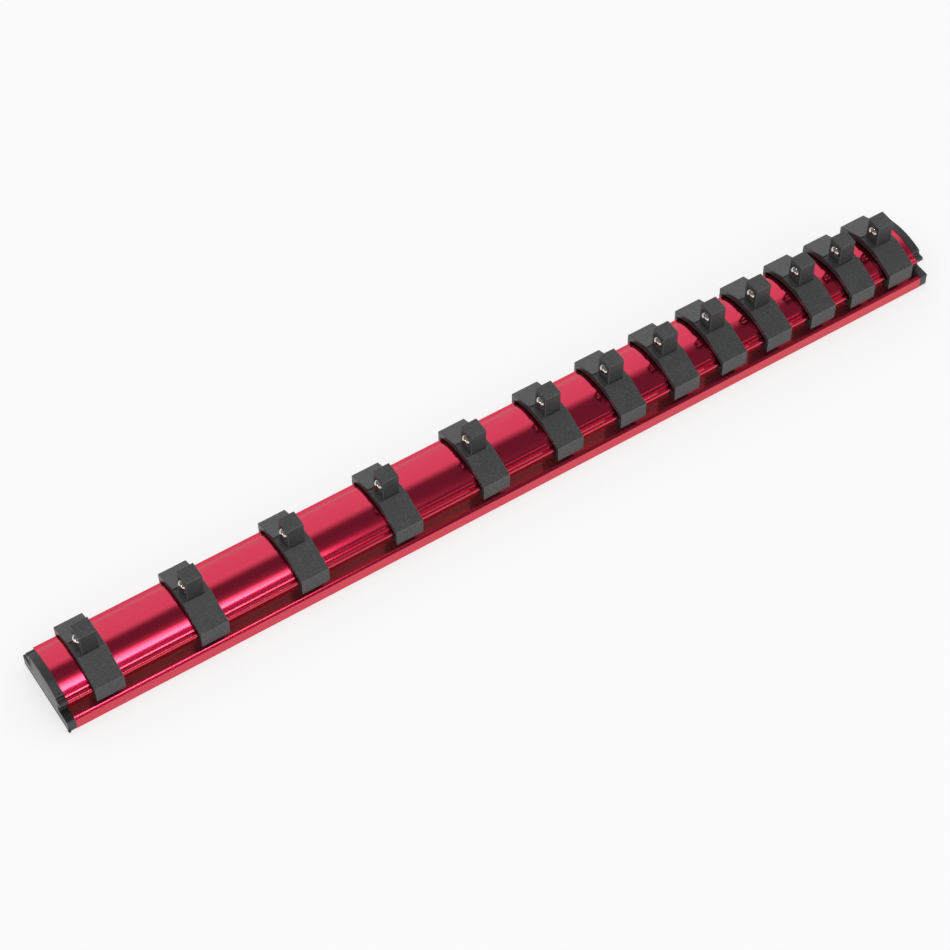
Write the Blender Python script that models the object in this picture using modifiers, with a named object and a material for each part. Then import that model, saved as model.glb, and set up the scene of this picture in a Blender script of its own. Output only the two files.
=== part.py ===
"""Socket rail: an extruded rail with moulded end caps and thirteen sliding clips.

Each clip straddles the crown of the rail, hooks under its two lips and carries a
square post. A sprung ball in the post holds a socket by its square drive.

Lengths are in metres. X runs along the rail, Z is up, and the origin lies at the
middle of the underside.
"""
import math

import bmesh
import bpy
from mathutils import Matrix

# Rail extrusion
rail_length = 0.344
rail_width = 0.0314
base_thickness = 0.0018
wall_height = 0.005
wall_thickness = 0.0012
wall_chamfer = 0.00015
wall_top_radius = 0.003
wall_top_offset = 0.00035
web_span = 0.0198
web_thickness = 0.0016
crown_height = 0.0143
crown_radius = 0.0266
crown_thickness = 0.0016
lip_span = 0.0255
lip_radius = 0.0008
inner_groove_span = 0.0196
inner_groove_width = 0.0004
inner_groove_depth = 0.0002
outer_groove_span = 0.0227
outer_groove_width = 0.0009
outer_groove_depth = 0.0003

# End caps
cap_thickness = 0.0027
cap_proud = 0.00015
cap_edge_radius = 0.0006
cap_lobe_thickness = 0.0018
cap_lobe_inset = 0.00035
cap_lobe_drop = 0.00065
cap_rim = 0.0009
cap_recess_depth = 0.0005
plug_length = 0.008
plug_wall = 0.0016
nub_radius = 0.0005
nub_reach = 0.0006
nub_height = 0.0006
nub_proud = 0.00025

# Clips
clip_width = 0.0105
running_gap = 0.00035
saddle_thickness = 0.0026
trough_depth = 0.0005
shoulder_cover = 0.00176
leg_thickness = 0.00154
hook_thickness = 0.0026
hook_reach = 0.0026
hook_lead = 0.0009
clip_edge_radius = 0.00025
first_clip_inset = 0.014
last_clip_inset = 0.009
clip_place_shares = (0.0, 0.120, 0.238, 0.352, 0.460, 0.554, 0.6355, 0.7065, 0.770, 0.831, 0.8915, 0.947, 1.0)

# Square post and its ball
post_width = 0.00635
post_height = 0.009
post_edge_radius = 0.0003
collar_margin = 0.0006
collar_height = 0.00025
collar_bite = 0.0001
saddle_front_margin = 0.000225
ball_radius = 0.00198
ball_protrusion = 0.0011
ball_height_share = 0.52
mouth_depth = 0.00015
mouth_land_share = 0.3
dish_radius_share = 0.835
bore_clearance = 0.00017
bore_depth = 0.0056
spring_wire_radius = 0.0002
spring_side_gap = 0.0003
spring_turns = 3

# Fits and overruns
seat_gap = 0.0003
contact_gap = 0.0001
overrun = 0.001
weld_distance = 0.000001

# Facets on round shapes
arc_steps = 12
nose_steps = 6
round_steps = 16
wall_top_steps = 3
ball_segments = 12
ball_rings = 8
spring_points_per_turn = 8
sharp_angle = 30

half_width = rail_width / 2
half_web = web_span / 2
half_post = post_width / 2
crown_centre_z = crown_height - crown_radius
nose_y = lip_span / 2 - lip_radius
nose_z = crown_centre_z + math.sqrt((crown_radius - lip_radius) ** 2 - nose_y ** 2)
lip_underside = nose_z - lip_radius
trough_z = crown_height + running_gap + saddle_thickness
saddle_top = trough_z + trough_depth
saddle_edge_y = half_post + saddle_front_margin
shoulder_z = nose_z + lip_radius + shoulder_cover
leg_inner_y = lip_span / 2 + running_gap
leg_outer_y = leg_inner_y + leg_thickness
hook_top = lip_underside - running_gap
leg_bottom = hook_top - hook_thickness
post_top = saddle_top + post_height
ball_z = saddle_top + post_height * ball_height_share
ball_depth = ball_radius - ball_protrusion
bore_radius = ball_radius + bore_clearance
mouth_radius = math.sqrt((ball_radius + contact_gap) ** 2 - (ball_depth - mouth_depth) ** 2)
dish_radius = half_post * dish_radius_share
coil_radius = bore_radius - spring_side_gap - spring_wire_radius
clip_run = rail_length - first_clip_inset - last_clip_inset


def clear_scene():
    """Remove every object, so that the part starts from an empty scene."""
    for old in list(bpy.data.objects):
        bpy.data.objects.remove(old, do_unlink=True)


def make_collection(name):
    group = bpy.data.collections.new(name)
    bpy.context.scene.collection.children.link(group)
    return group


def make_material(name, colour, roughness, metallic):
    material = bpy.data.materials.new(name)
    material.use_nodes = True
    shader = material.node_tree.nodes["Principled BSDF"]
    shader.inputs["Base Color"].default_value = (*colour, 1.0)
    shader.inputs["Roughness"].default_value = roughness
    shader.inputs["Metallic"].default_value = metallic
    return material


def arc(centre, radius, start, end, steps):
    """Points on an arc in the YZ plane, with angles in degrees from +Y towards +Z."""
    points = []
    for step in range(steps + 1):
        angle = math.radians(start + (end - start) * step / steps)
        points.append((centre[0] + radius * math.cos(angle), centre[1] + radius * math.sin(angle)))
    return points


def crown_z(y, radius):
    """Height of a crown arc of the given radius at a distance y from the middle."""
    return crown_centre_z + math.sqrt(radius ** 2 - y ** 2)


def crown_angle(y, radius):
    return math.degrees(math.acos(y / radius))


def crown_arc(y_start, y_end, radius, steps):
    """Points along a crown arc between two distances from the middle."""
    return arc((0, crown_centre_z), radius, crown_angle(y_start, radius), crown_angle(y_end, radius), steps)


def mirrored(half):
    """Close a half outline that starts and ends on the middle plane."""
    other = [(-y, z) for y, z in reversed(half) if y > weld_distance]
    return half + other


def apply_modifiers(piece):
    """Bake a piece's modifiers into its mesh."""
    depsgraph = bpy.context.evaluated_depsgraph_get()
    mesh = bpy.data.meshes.new_from_object(piece.evaluated_get(depsgraph))
    piece.modifiers.clear()
    piece.data = mesh


def extruded(name, outlines, length, group):
    """A solid along X, centred on X = 0, from closed outlines in the YZ plane.

    Each end is one flat face, unless the outlines leave a hole in it.
    """
    curve = bpy.data.curves.new(name, "CURVE")
    curve.dimensions = "2D"
    curve.fill_mode = "BOTH"
    curve.extrude = length / 2
    for outline in outlines:
        spline = curve.splines.new("POLY")
        spline.points.add(len(outline) - 1)
        spline.use_cyclic_u = True
        for point, (y, z) in zip(spline.points, outline):
            point.co = (y, z, 0, 1)
    guide = bpy.data.objects.new(name + "_outline", curve)
    group.objects.link(guide)
    guide.matrix_world = Matrix(((0, 0, 1, 0), (1, 0, 0, 0), (0, 1, 0, 0), (0, 0, 0, 1)))
    bpy.context.view_layer.update()
    mesh = bpy.data.meshes.new_from_object(guide.evaluated_get(bpy.context.evaluated_depsgraph_get()))
    mesh.transform(guide.matrix_world)
    mesh.name = name
    bpy.data.objects.remove(guide, do_unlink=True)
    shape = bmesh.new()
    shape.from_mesh(mesh)
    for vert in shape.verts:
        vert.co.x = math.copysign(length / 2, vert.co.x)
    bmesh.ops.remove_doubles(shape, verts=shape.verts, dist=weld_distance)
    if len(outlines) == 1:
        for side in (-1, 1):
            end = [face for face in shape.faces if all(vert.co.x * side > 0 for vert in face.verts)]
            bmesh.ops.dissolve_faces(shape, faces=end)
    bmesh.ops.dissolve_limit(shape, angle_limit=math.radians(1), verts=shape.verts, edges=shape.edges)
    bmesh.ops.recalc_face_normals(shape, faces=shape.faces)
    shape.to_mesh(mesh)
    shape.free()
    piece = bpy.data.objects.new(name, mesh)
    group.objects.link(piece)
    return piece


def convex_edge(edge):
    """True for a sharp edge that stands outwards."""
    return edge.is_convex and edge.calc_face_angle() > math.radians(sharp_angle)


def outer_face_edge(edge):
    """True for an edge round the face furthest towards -X, apart from those on the underside."""
    on_face = any(face.normal.x < -math.cos(math.radians(sharp_angle)) for face in edge.link_faces)
    on_underside = any(face.normal.z < -math.cos(math.radians(sharp_angle)) for face in edge.link_faces)
    return on_face and not on_underside


def round_edges(mesh, radius, segments, chosen):
    """Round the edges of a mesh that the chosen test picks."""
    shape = bmesh.new()
    shape.from_mesh(mesh)
    edges = [edge for edge in shape.edges if chosen(edge)]
    bmesh.ops.bevel(
        shape, geom=edges, offset=radius, segments=segments, profile=0.5, affect="EDGES", material=-1
    )
    shape.to_mesh(mesh)
    shape.free()


def box(name, size, centre, group):
    shape = bmesh.new()
    bmesh.ops.create_cube(shape, size=1, matrix=Matrix.Translation(centre) @ Matrix.Diagonal((*size, 1)))
    mesh = bpy.data.meshes.new(name)
    shape.to_mesh(mesh)
    shape.free()
    piece = bpy.data.objects.new(name, mesh)
    group.objects.link(piece)
    return piece


def turned(name, profile, group):
    """A solid turned about local Z, from (radius, height) points running down the outer side."""
    mesh = bpy.data.meshes.new(name)
    edges = [(index, index + 1) for index in range(len(profile) - 1)]
    mesh.from_pydata([(radius, 0, height) for radius, height in profile], edges, [])
    piece = bpy.data.objects.new(name, mesh)
    group.objects.link(piece)
    screw = piece.modifiers.new("turned", "SCREW")
    screw.steps = round_steps
    screw.render_steps = round_steps
    screw.use_merge_vertices = True
    screw.merge_threshold = weld_distance
    apply_modifiers(piece)
    return piece


def combine(piece, tool, operation):
    """Join the tool to the piece or cut it out, keeping the tool as a wire guide."""
    boolean = piece.modifiers.new(operation.lower(), "BOOLEAN")
    boolean.operation = operation
    boolean.solver = "EXACT"
    boolean.object = tool
    apply_modifiers(piece)
    tool.hide_render = True
    tool.display_type = "WIRE"


def shade_round(mesh, angle=35):
    mesh.shade_smooth()
    mesh.set_sharp_from_angle(angle=math.radians(angle))


def set_material(mesh, material):
    mesh.materials.clear()
    mesh.materials.append(material)


def place_copy(name, mesh, location, group, parent=None):
    """One named piece of the part, placed by its location, under its parent if it has one."""
    piece = bpy.data.objects.new(name, mesh)
    group.objects.link(piece)
    piece.location = location
    piece.parent = parent
    return piece


def groove(span, width, depth):
    """A shallow V groove in the crown, at half the span from the middle."""
    middle = span / 2
    edges = (middle - width / 2, middle + width / 2)
    return [
        (edges[0], crown_z(edges[0], crown_radius)),
        (middle, crown_z(middle, crown_radius) - depth),
        (edges[1], crown_z(edges[1], crown_radius)),
    ]


def wall_top_arc():
    """The top of a side wall, which leans outwards along an arc from its inner corner."""
    inner_y = half_width - wall_thickness + wall_chamfer
    centre_y = inner_y - wall_top_offset
    start = math.acos(wall_top_offset / wall_top_radius)
    centre_z = wall_height - wall_top_radius * math.sin(start)
    end = math.acos((half_width - wall_chamfer - centre_y) / wall_top_radius)
    return arc((centre_y, centre_z), wall_top_radius, math.degrees(start), math.degrees(end), wall_top_steps)


def rail_outlines():
    """Outer outline of the extrusion and the outline of its hollow core."""
    inner = groove(inner_groove_span, inner_groove_width, inner_groove_depth)
    outer = groove(outer_groove_span, outer_groove_width, outer_groove_depth)
    wall_top = wall_top_arc()
    nose_angle = math.degrees(math.atan2(nose_z - crown_centre_z, nose_y))
    half = crown_arc(0, inner[0][0], crown_radius, arc_steps)
    half += inner[1:]
    half += outer
    half += arc((nose_y, nose_z), lip_radius, nose_angle, -90, nose_steps)
    half += [
        (half_web, lip_underside),
        (half_web, base_thickness),
        (half_width - wall_thickness, base_thickness),
        (half_width - wall_thickness, wall_height - wall_chamfer),
    ]
    half += wall_top
    half += [
        (half_width, wall_top[-1][1] - wall_chamfer),
        (half_width, wall_chamfer),
        (half_width - wall_chamfer, 0),
        (0, 0),
    ]
    return [mirrored(half), mirrored(core_half_outline(0))]


def core_half_outline(inset):
    """Half of the hollow core, drawn in by an inset all round."""
    core_radius = crown_radius - crown_thickness - inset
    side = half_web - web_thickness - inset
    half = crown_arc(0, side, core_radius, arc_steps // 2)
    return half + [(side, base_thickness + inset), (0, base_thickness + inset)]


def build_rail(materials, group):
    rail = extruded("rail", rail_outlines(), rail_length, group)
    shade_round(rail.data)
    set_material(rail.data, materials["rail"])


def cap_half_outline():
    """Half of an end cap's flange: crown, step, lobe over the channel, neck and foot."""
    lobe_radius = cap_lobe_thickness / 2
    lobe_y = lip_span / 2 - cap_lobe_inset - lobe_radius
    lobe_z = lip_underside - cap_lobe_drop + lobe_radius
    foot_top = wall_height + cap_proud
    half = crown_arc(0, inner_groove_span / 2, crown_radius + cap_proud, arc_steps)
    half += [(half_web, lobe_z + lobe_radius)]
    half += arc((lobe_y, lobe_z), lobe_radius, 90, -90, nose_steps)
    half += [
        (half_web, lobe_z - lobe_radius),
        (half_web, foot_top),
        (half_width - cap_edge_radius, foot_top),
        (half_width, foot_top - cap_edge_radius),
        (half_width, 0),
        (0, 0),
    ]
    return half


def cap_recess_half_outline():
    """Half of the shallow recess in the outer face, inside a rim of even width."""
    radius = crown_radius - cap_rim
    neck = half_web - cap_rim
    return crown_arc(0, neck, radius, arc_steps) + [
        (neck, wall_height - cap_rim),
        (half_width - cap_rim, wall_height - cap_rim),
        (half_width - cap_rim, cap_rim),
        (0, cap_rim),
    ]


def build_cap_mesh(cutters):
    """One end cap with its outer face towards -X and its flange's inner face at X = 0."""
    cap = extruded("cap_flange", [mirrored(cap_half_outline())], cap_thickness, cutters)
    cap.data.transform(Matrix.Translation((-cap_thickness / 2, 0, 0)))
    round_edges(cap.data, cap_edge_radius, 2, outer_face_edge)

    recess_span = cap_recess_depth + overrun
    recess = extruded("cap_recess", [mirrored(cap_recess_half_outline())], recess_span, cutters)
    recess.data.transform(Matrix.Translation((cap_recess_depth - recess_span / 2 - cap_thickness, 0, 0)))
    combine(cap, recess, "DIFFERENCE")

    plug_span = plug_length + cap_thickness - cap_recess_depth - cap_rim
    plug = extruded("cap_plug", [mirrored(core_half_outline(seat_gap))], plug_span, cutters)
    plug.data.transform(Matrix.Translation((plug_length - plug_span / 2, 0, 0)))
    hollow_outline = mirrored(core_half_outline(seat_gap + plug_wall))
    hollow = extruded("cap_plug_hollow", [hollow_outline], plug_length, cutters)
    hollow.data.transform(Matrix.Translation((plug_length / 2 + overrun, 0, 0)))
    combine(cap, plug, "UNION")
    combine(cap, hollow, "DIFFERENCE")

    nub_profile = [(0, nub_reach), (nub_radius, nub_reach), (nub_radius, -nub_reach), (0, -nub_reach)]
    nub = turned("cap_nub", nub_profile, cutters)
    nub.data.transform(Matrix.Rotation(math.radians(90), 4, "X"))
    nub.data.transform(Matrix.Translation((nub_radius - nub_proud - cap_thickness, -half_width, nub_height)))
    combine(cap, nub, "UNION")
    shade_round(cap.data)
    cap.hide_render = True
    cap.display_type = "WIRE"
    return cap.data


def build_caps(materials, group, cutters):
    """Two like mouldings, one turned half round, each seated against an end of the rail."""
    mesh = build_cap_mesh(cutters)
    set_material(mesh, materials["plastic"])
    seat = rail_length / 2 + seat_gap
    place_copy("end_cap_left", mesh, (-seat, 0, 0), group)
    right = place_copy("end_cap_right", mesh, (seat, 0, 0), group)
    right.rotation_euler = (0, 0, math.pi)


def clip_half_outline():
    """Half of a clip's outer section: trough, sloping top, leg and flat bottom."""
    return [
        (0, trough_z),
        (saddle_edge_y, trough_z),
        (saddle_edge_y, saddle_top),
        (leg_outer_y, shoulder_z),
        (leg_outer_y, leg_bottom),
        (0, leg_bottom),
    ]


def rail_space_half_outline():
    """Half of the space that the rail takes in a clip: arch, legs and the gap between the hooks."""
    hook_end_y = leg_inner_y - hook_reach
    return crown_arc(0, leg_inner_y, crown_radius + running_gap, arc_steps // 2) + [
        (leg_inner_y, hook_top),
        (hook_end_y + hook_lead, hook_top),
        (hook_end_y, hook_top - hook_lead),
        (hook_end_y, leg_bottom - overrun),
        (0, leg_bottom - overrun),
    ]


def build_clip_mesh(cutters):
    """One clip about its own middle plane: saddle, collar and post, bored for the ball."""
    clip = extruded("clip_saddle", [mirrored(clip_half_outline())], clip_width, cutters)
    round_edges(clip.data, clip_edge_radius, 1, convex_edge)
    space_outline = mirrored(rail_space_half_outline())
    rail_space = extruded("rail_space", [space_outline], clip_width + 2 * overrun, cutters)
    combine(clip, rail_space, "DIFFERENCE")

    foot_z = trough_z - saddle_thickness / 2
    collar_top = trough_z + collar_height
    collar_size = (post_width + 2 * collar_margin, 2 * (saddle_edge_y + collar_bite), collar_top - foot_z)
    collar = box("clip_collar", collar_size, (0, 0, (collar_top + foot_z) / 2), cutters)
    combine(clip, collar, "UNION")

    post_size = (post_width, post_width, post_top - foot_z)
    post = box("clip_post", post_size, (0, 0, (post_top + foot_z) / 2), cutters)
    round_edges(post.data, post_edge_radius, 2, convex_edge)
    combine(clip, post, "UNION")

    bore_profile = [
        (0, overrun),
        (dish_radius, overrun),
        (dish_radius, 0),
        (mouth_radius, -mouth_depth * (1 - mouth_land_share)),
        (mouth_radius, -mouth_depth),
        (bore_radius, -mouth_depth),
        (bore_radius, -bore_depth),
        (0, -bore_depth),
    ]
    bore = turned("ball_bore", bore_profile, cutters)
    bore.data.transform(Matrix.Rotation(math.radians(-90), 4, "Y"))
    bore.data.transform(Matrix.Translation((-half_post, 0, ball_z)))
    combine(clip, bore, "DIFFERENCE")
    shade_round(clip.data)
    clip.hide_render = True
    clip.display_type = "WIRE"
    return clip.data


def build_ball_mesh():
    mesh = bpy.data.meshes.new("ball")
    shape = bmesh.new()
    bmesh.ops.create_uvsphere(shape, u_segments=ball_segments, v_segments=ball_rings, radius=ball_radius)
    shape.to_mesh(mesh)
    shape.free()
    mesh.shade_smooth()
    return mesh


def build_spring_mesh(group):
    """A coil along X, from behind the ball to the floor of the bore."""
    reach = ball_radius + spring_wire_radius + contact_gap
    start = ball_depth + math.sqrt(reach ** 2 - coil_radius ** 2)
    end = bore_depth - spring_wire_radius - contact_gap
    count = spring_turns * spring_points_per_turn
    curve = bpy.data.curves.new("spring", "CURVE")
    curve.dimensions = "3D"
    curve.bevel_depth = spring_wire_radius
    curve.bevel_resolution = 0
    curve.use_fill_caps = True
    spline = curve.splines.new("POLY")
    spline.points.add(count)
    for index, point in enumerate(spline.points):
        angle = math.tau * index / spring_points_per_turn
        x = start + (end - start) * index / count - half_post
        point.co = (x, coil_radius * math.cos(angle), coil_radius * math.sin(angle), 1)
    guide = bpy.data.objects.new("spring_guide", curve)
    group.objects.link(guide)
    bpy.context.view_layer.update()
    mesh = bpy.data.meshes.new_from_object(guide.evaluated_get(bpy.context.evaluated_depsgraph_get()))
    bpy.data.objects.remove(guide, do_unlink=True)
    shape = bmesh.new()
    shape.from_mesh(mesh)
    bmesh.ops.remove_doubles(shape, verts=shape.verts, dist=weld_distance)
    bmesh.ops.recalc_face_normals(shape, faces=shape.faces)
    shape.to_mesh(mesh)
    shape.free()
    mesh.shade_smooth()
    return mesh


def build_clips(materials, group, cutters):
    """Thirteen clips along the rail, each with its ball and spring."""
    clip_mesh = build_clip_mesh(cutters)
    set_material(clip_mesh, materials["plastic"])
    ball_mesh = build_ball_mesh()
    set_material(ball_mesh, materials["steel"])
    spring_mesh = build_spring_mesh(cutters)
    set_material(spring_mesh, materials["spring"])
    first_x = first_clip_inset - rail_length / 2
    for number, share in enumerate(clip_place_shares, start=1):
        clip = place_copy(f"clip_{number:02d}", clip_mesh, (first_x + clip_run * share, 0, 0), group)
        place_copy(f"ball_{number:02d}", ball_mesh, (ball_depth - half_post, 0, ball_z), group, clip)
        place_copy(f"ball_spring_{number:02d}", spring_mesh, (0, 0, ball_z), group, clip)


def main():
    clear_scene()
    group = make_collection("socket_rail")
    cutters = make_collection("cutters")
    materials = {
        "rail": make_material("red_anodised_aluminium", (0.62, 0.012, 0.07), 0.28, 1.0),
        "plastic": make_material("black_moulded_plastic", (0.055, 0.056, 0.058), 0.5, 0.0),
        "steel": make_material("polished_steel", (0.78, 0.75, 0.70), 0.12, 1.0),
        "spring": make_material("spring_steel", (0.45, 0.44, 0.42), 0.3, 1.0),
    }
    build_rail(materials, group)
    build_caps(materials, group, cutters)
    build_clips(materials, group, cutters)


main()
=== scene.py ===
"""Looks of a socket rail: anodised rail, moulded caps and clips, steel balls and springs, and a studio."""
import math

import bmesh
import bpy
from bpy.props import FloatProperty, FloatVectorProperty, IntProperty, PointerProperty
from mathutils import Matrix, Vector


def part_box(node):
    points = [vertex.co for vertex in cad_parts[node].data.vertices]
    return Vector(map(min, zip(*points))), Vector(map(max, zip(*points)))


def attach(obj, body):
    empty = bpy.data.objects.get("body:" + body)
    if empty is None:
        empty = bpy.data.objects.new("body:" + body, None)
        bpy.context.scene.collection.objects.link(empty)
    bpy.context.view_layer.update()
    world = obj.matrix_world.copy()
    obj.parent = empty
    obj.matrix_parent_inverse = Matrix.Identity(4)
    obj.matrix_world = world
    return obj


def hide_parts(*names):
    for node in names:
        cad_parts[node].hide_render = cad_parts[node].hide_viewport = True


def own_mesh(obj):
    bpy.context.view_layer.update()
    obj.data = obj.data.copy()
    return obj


bl_info = {
    "name": "Socket Rail",
    "version": (1, 0, 0),
    "blender": (4, 5, 0),
    "location": "View3D > Sidebar > Socket Rail",
    "description": "Builds a rail of sliding socket clips with its finishes, and a plain studio for it",
    "category": "Object",
}

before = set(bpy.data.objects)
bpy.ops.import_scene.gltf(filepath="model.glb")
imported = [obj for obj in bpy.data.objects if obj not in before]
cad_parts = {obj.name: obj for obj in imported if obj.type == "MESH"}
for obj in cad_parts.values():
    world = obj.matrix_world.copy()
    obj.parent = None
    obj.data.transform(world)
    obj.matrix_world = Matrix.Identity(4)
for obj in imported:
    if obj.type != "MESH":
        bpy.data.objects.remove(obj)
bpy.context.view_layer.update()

RAIL_LOW, RAIL_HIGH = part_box("rail")
CAP_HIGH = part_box("end_cap_left")[1]
CLIP_LOW, CLIP_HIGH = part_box("clip_01")
BALL_LOW, BALL_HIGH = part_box("ball_01")
CLIP_MIDDLE = (CLIP_LOW.x + CLIP_HIGH.x) / 2
NUMBERS = sorted(name.removeprefix("clip_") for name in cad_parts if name.startswith("clip_"))

# Distance under which two points are one
WELD = 0.000001
# Overrun of every cutting tool
OVERRUN = 0.001
# Edges that turn further than this stay sharp
SHARP_ANGLE = math.radians(38)
# The softbox fades towards its back and its right, by (place, strength) stops
BACK_FADE = (
    (0.0, 1.0), (0.134, 1.0), (0.279, 0.82), (0.42, 0.54), (0.567, 0.24), (0.708, 0.055), (0.85, 0.017),
    (1.0, 0.01),
)
RIGHT_FADE = ((0.0, 1.0), (0.09, 0.9), (0.26, 0.10), (0.545, 0.035), (1.0, 0.01))


def length(name, description, default):
    """A property that holds a length in metres."""
    return FloatProperty(name=name, description=description, default=default, unit="LENGTH", precision=5)


def angle(name, description, degrees):
    """A property that holds an angle, given in degrees."""
    return FloatProperty(name=name, description=description, default=math.radians(degrees), unit="ROTATION")


def share(name, description, default):
    """A property that holds a share between 0 and 1."""
    return FloatProperty(
        name=name, description=description, default=default, subtype="FACTOR", min=0, max=1
    )


def colour(name, description, default):
    """A property that holds a linear colour."""
    return FloatVectorProperty(
        name=name, description=description, default=default, subtype="COLOR", min=0, max=1
    )


class RailSizes(bpy.types.PropertyGroup):
    """Section of the extrusion."""

    base_thickness: length("Base thickness", "Thickness of the flat base", 0.0018)
    wall_height: length("Wall height", "Height of the two outer walls", 0.005)
    wall_thickness: length("Wall thickness", "Thickness of the two outer walls", 0.0012)
    web_span: length("Web span", "Width over the two webs", 0.0198)
    web_thickness: length("Web thickness", "Thickness of each web", 0.0016)
    crown_radius: length("Crown radius", "Radius of the crown's outer arc", 0.0266)
    crown_thickness: length("Crown thickness", "Thickness of the arched crown", 0.0016)
    lip_span: length("Lip span", "Width over the two lips", 0.0253)
    lip_radius: length("Lip radius", "Radius of each lip's round nose", 0.0008)
    wall_top_radius: length("Wall top radius", "Radius of each wall's leaning top", 0.0038)
    wall_top_start: angle("Wall top start", "Slope of a wall's top at its inner face", 12.5)
    wall_top_end: angle("Wall top end", "Slope of a wall's top where its arc ends", 20.5)
    crown_span: length("Crown span", "Width over the crown's arc", 0.0196)
    brow_depth: length("Brow depth", "How far the brows beside the crown's arc lie under it", 0.00028)
    brow_span: length("Brow span", "Width over the two brows, which level off before the steps", 0.0218)
    brow_slope: angle("Brow slope", "Slope at the end of each brow", 15.5)
    step_height: length("Step height", "Height of the step between a brow and its lip", 0.00048)
    ledge_width: length("Ledge width", "Width of the flat ledge on each lip", 0.00097)
    ledge_slope: angle("Ledge slope", "Slope of that ledge", 1.5)
    lip_top_radius: length("Lip top radius", "Radius of each lip's domed top", 0.0011)
    lip_top_slope: angle("Lip top slope", "Slope where the domed top meets the nose", 33)
    lip_foot_radius: length("Lip foot radius", "Radius below each lip's nose", 0.0006)
    corner_radius: length("Corner radius", "Rounding of the section's corners", 0.00012)


class CapSizes(bpy.types.PropertyGroup):
    """Sizes of the end caps."""

    thickness: length("Flange thickness", "Thickness of the flange against the rail's end", 0.0027)
    proud: length("Proud", "How far the flange stands proud of the rail's section", 0.00015)
    lobe_thickness: length("Lobe thickness", "Height of the round lobe in line with each lip", 0.0018)
    lobe_inset: length("Lobe inset", "How far a lobe ends short of the lip", 0.00035)
    lobe_drop: length("Lobe drop", "How far a lobe reaches below the lip", 0.00065)
    lobe_lead: length("Lobe lead", "Taper under each lobe that lets the nearest clip's hook in", 0.00035)
    edge_radius: length("Edge radius", "Rounding round the outer face", 0.00045)
    corner_radius: length("Corner radius", "Rounding of the flange's corners", 0.0005)
    rim: length("Rim", "Width of the rim round the recess in the outer face", 0.0007)
    recess_depth: length("Recess depth", "Depth of the recess in the outer face", 0.0001)
    seat_gap: length("Seat gap", "Gap between the flange and the rail's end", 0.00003)
    plug_length: length("Plug length", "Length of the plug inside the rail", 0.008)
    plug_gap: length("Plug gap", "Gap between the plug and the rail", 0.0003)
    plug_wall: length("Plug wall", "Wall of the hollow plug", 0.0016)
    nub_radius: length("Nub radius", "Radius of the gate nub at the foot", 0.00045)
    nub_reach: length("Nub reach", "How far the gate nub stands out", 0.00055)
    nub_height: length("Nub height", "Height of the gate nub's middle", 0.0006)


class ClipSizes(bpy.types.PropertyGroup):
    """Sizes of one clip."""

    running_gap: length("Running gap", "Gap between a clip and the rail", 0.00035)
    saddle_thickness: length("Saddle thickness", "Plastic over the top of the crown", 0.0026)
    trough_depth: length("Trough depth", "Depth of the trough beside the post", 0.0005)
    trough_margin: length("Trough margin", "How far the trough reaches past the post", 0.000225)
    shoulder_cover: length("Shoulder cover", "Height of the shoulder over the lip", 0.00176)
    leg_thickness: length("Leg thickness", "Thickness of each leg", 0.00154)
    hook_thickness: length("Hook thickness", "Height of each hook under the lip", 0.0029)
    hook_reach: length("Hook reach", "How far each hook reaches under the lip", 0.0026)
    hook_lead: length("Hook lead", "Chamfer on each hook's inner corner", 0.0009)
    edge_radius: length("Edge radius", "Rounding of the saddle's edges", 0.0003)
    parting_width: length("Parting width", "Width of the parting line on the sloping tops", 0.0003)
    parting_depth: length("Parting depth", "Depth of the parting line", 0.00013)
    post_width: length("Post width", "Width of the square post", 0.00635)
    post_edge_radius: length("Post edge radius", "Rounding of the post's edges", 0.00024)
    post_soft_radius: length("Soft edge radius", "Rounding of the post's back edge by the ball", 0.00035)
    collar_margin: length("Collar margin", "How far the low collar reaches past the post", 0.0006)
    collar_height: length("Collar height", "Height of the low collar over the trough", 0.00028)
    collar_bite: length("Collar bite", "How far the collar runs into the saddle", 0.0001)


class BallSizes(bpy.types.PropertyGroup):
    """Sizes of the ball's seat and spring."""

    mouth_depth: length("Mouth depth", "Depth of the dish and of the lip that holds the ball", 0.0002)
    dish_share: share("Dish share", "Radius of the dish over half the post's width", 0.78)
    bore_clearance: length("Bore clearance", "Gap between the ball and its bore", 0.00017)
    bore_depth: length("Bore depth", "Depth of the bore from the post's face", 0.0056)
    contact_gap: length("Contact gap", "Gap between the ball and the lip that holds it", 0.0001)
    wire_radius: length("Wire radius", "Radius of the spring's wire", 0.0002)
    turns: IntProperty(name="Turns", description="Turns of the spring", default=3, min=1)


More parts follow.
